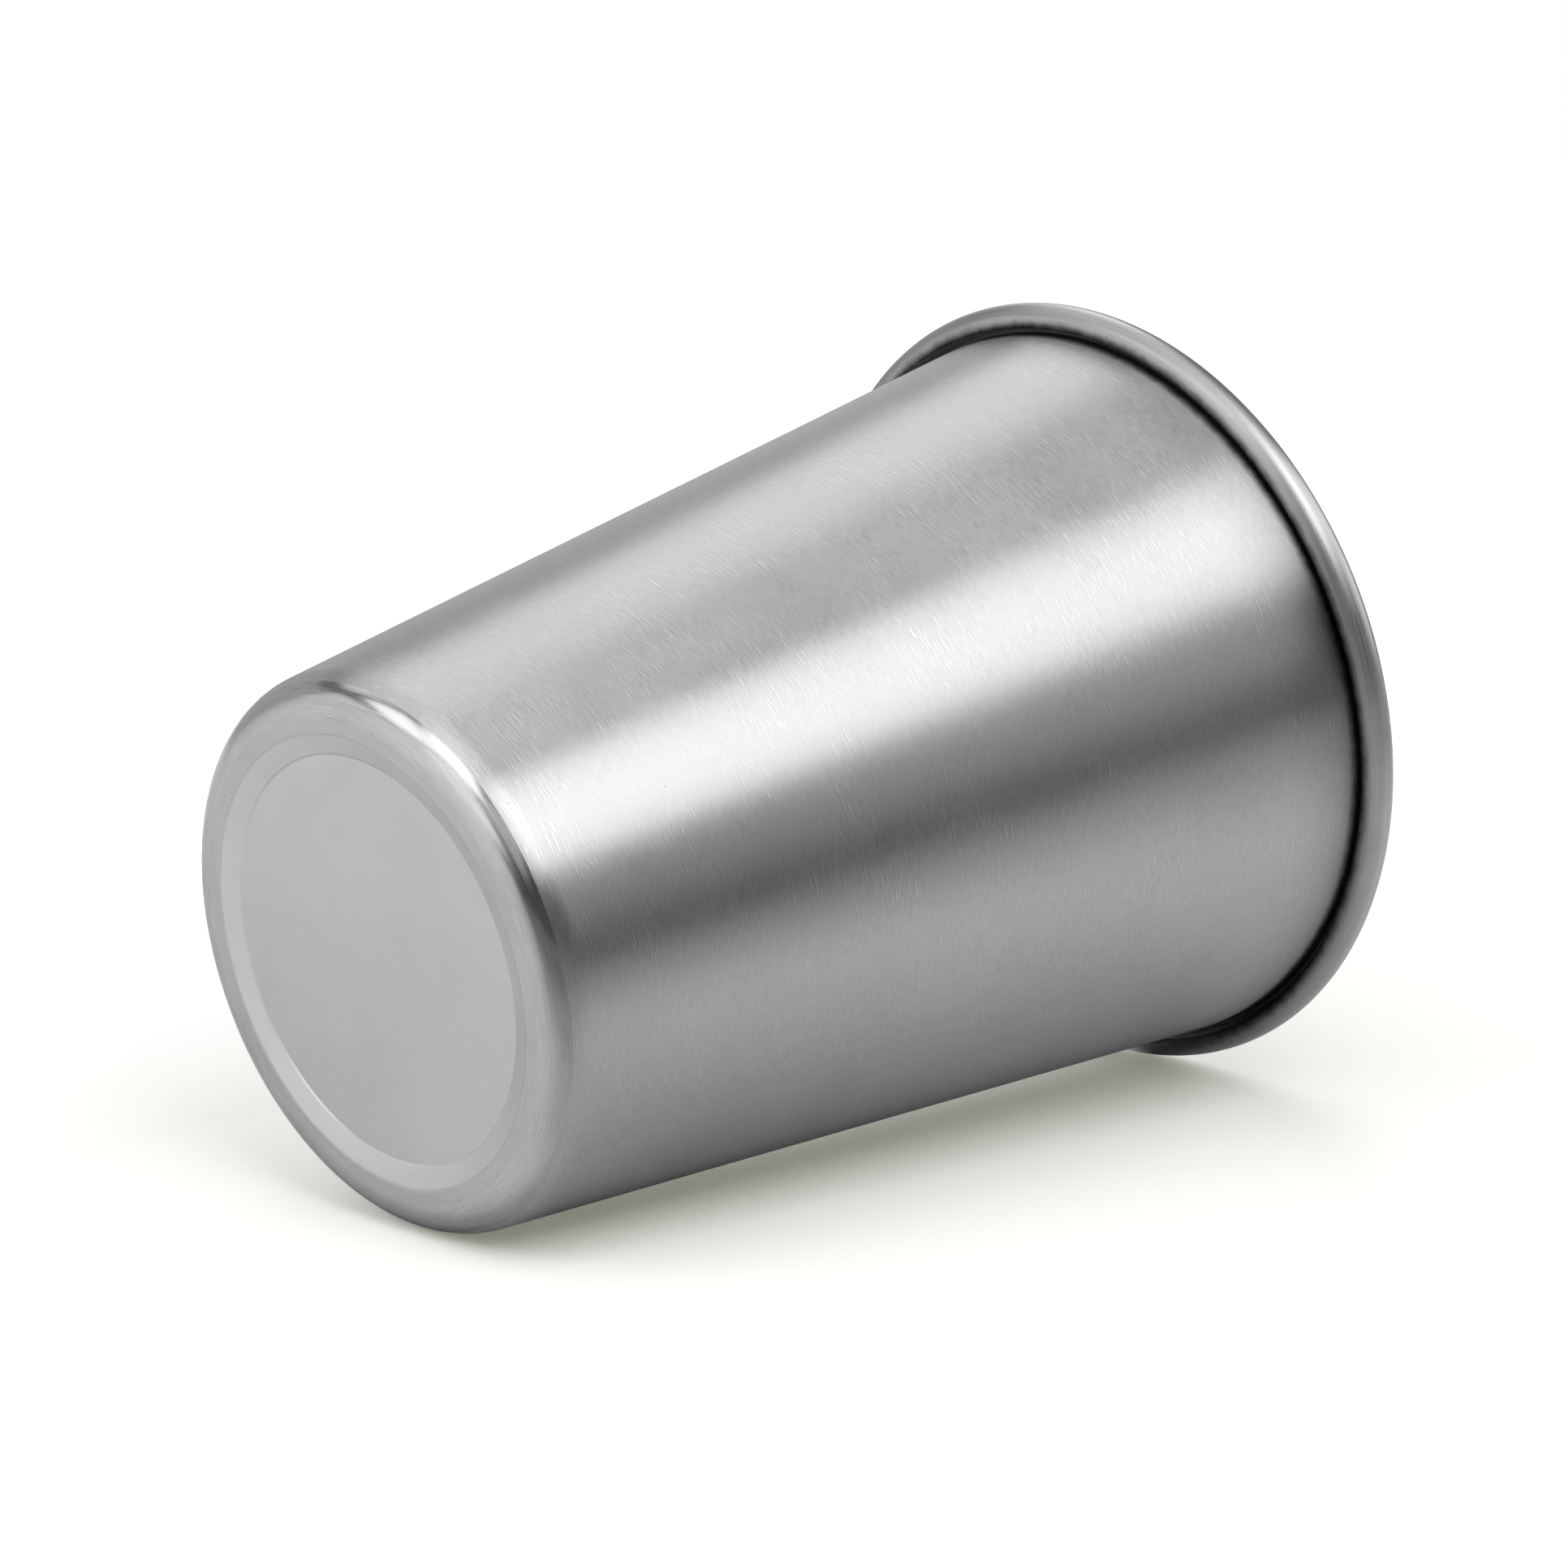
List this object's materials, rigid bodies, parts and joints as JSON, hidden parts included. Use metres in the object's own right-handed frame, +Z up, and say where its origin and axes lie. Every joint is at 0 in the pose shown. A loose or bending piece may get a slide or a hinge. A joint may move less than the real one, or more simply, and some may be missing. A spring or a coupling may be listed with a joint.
{
  "type": "pint cup",
  "caption": "Single-wall tapered metal drinking cup with a rolled rim, a rounded foot corner and a stepped, recessed base.",
  "frame": {"origin": "centre of the foot, on the plane that the cup stands on", "axes": "+Z up along the cup's axis, from the foot to the rim; +X and +Y across it, the cup being the same all round"},
  "size_m": [0.094, 0.094, 0.115],
  "materials": {
    "steel": "satin, brushed round the wall, plain on the rolled rim"
  },
  "bodies": {
    "root": {"cup": "steel"}
  },
  "joints": []
}
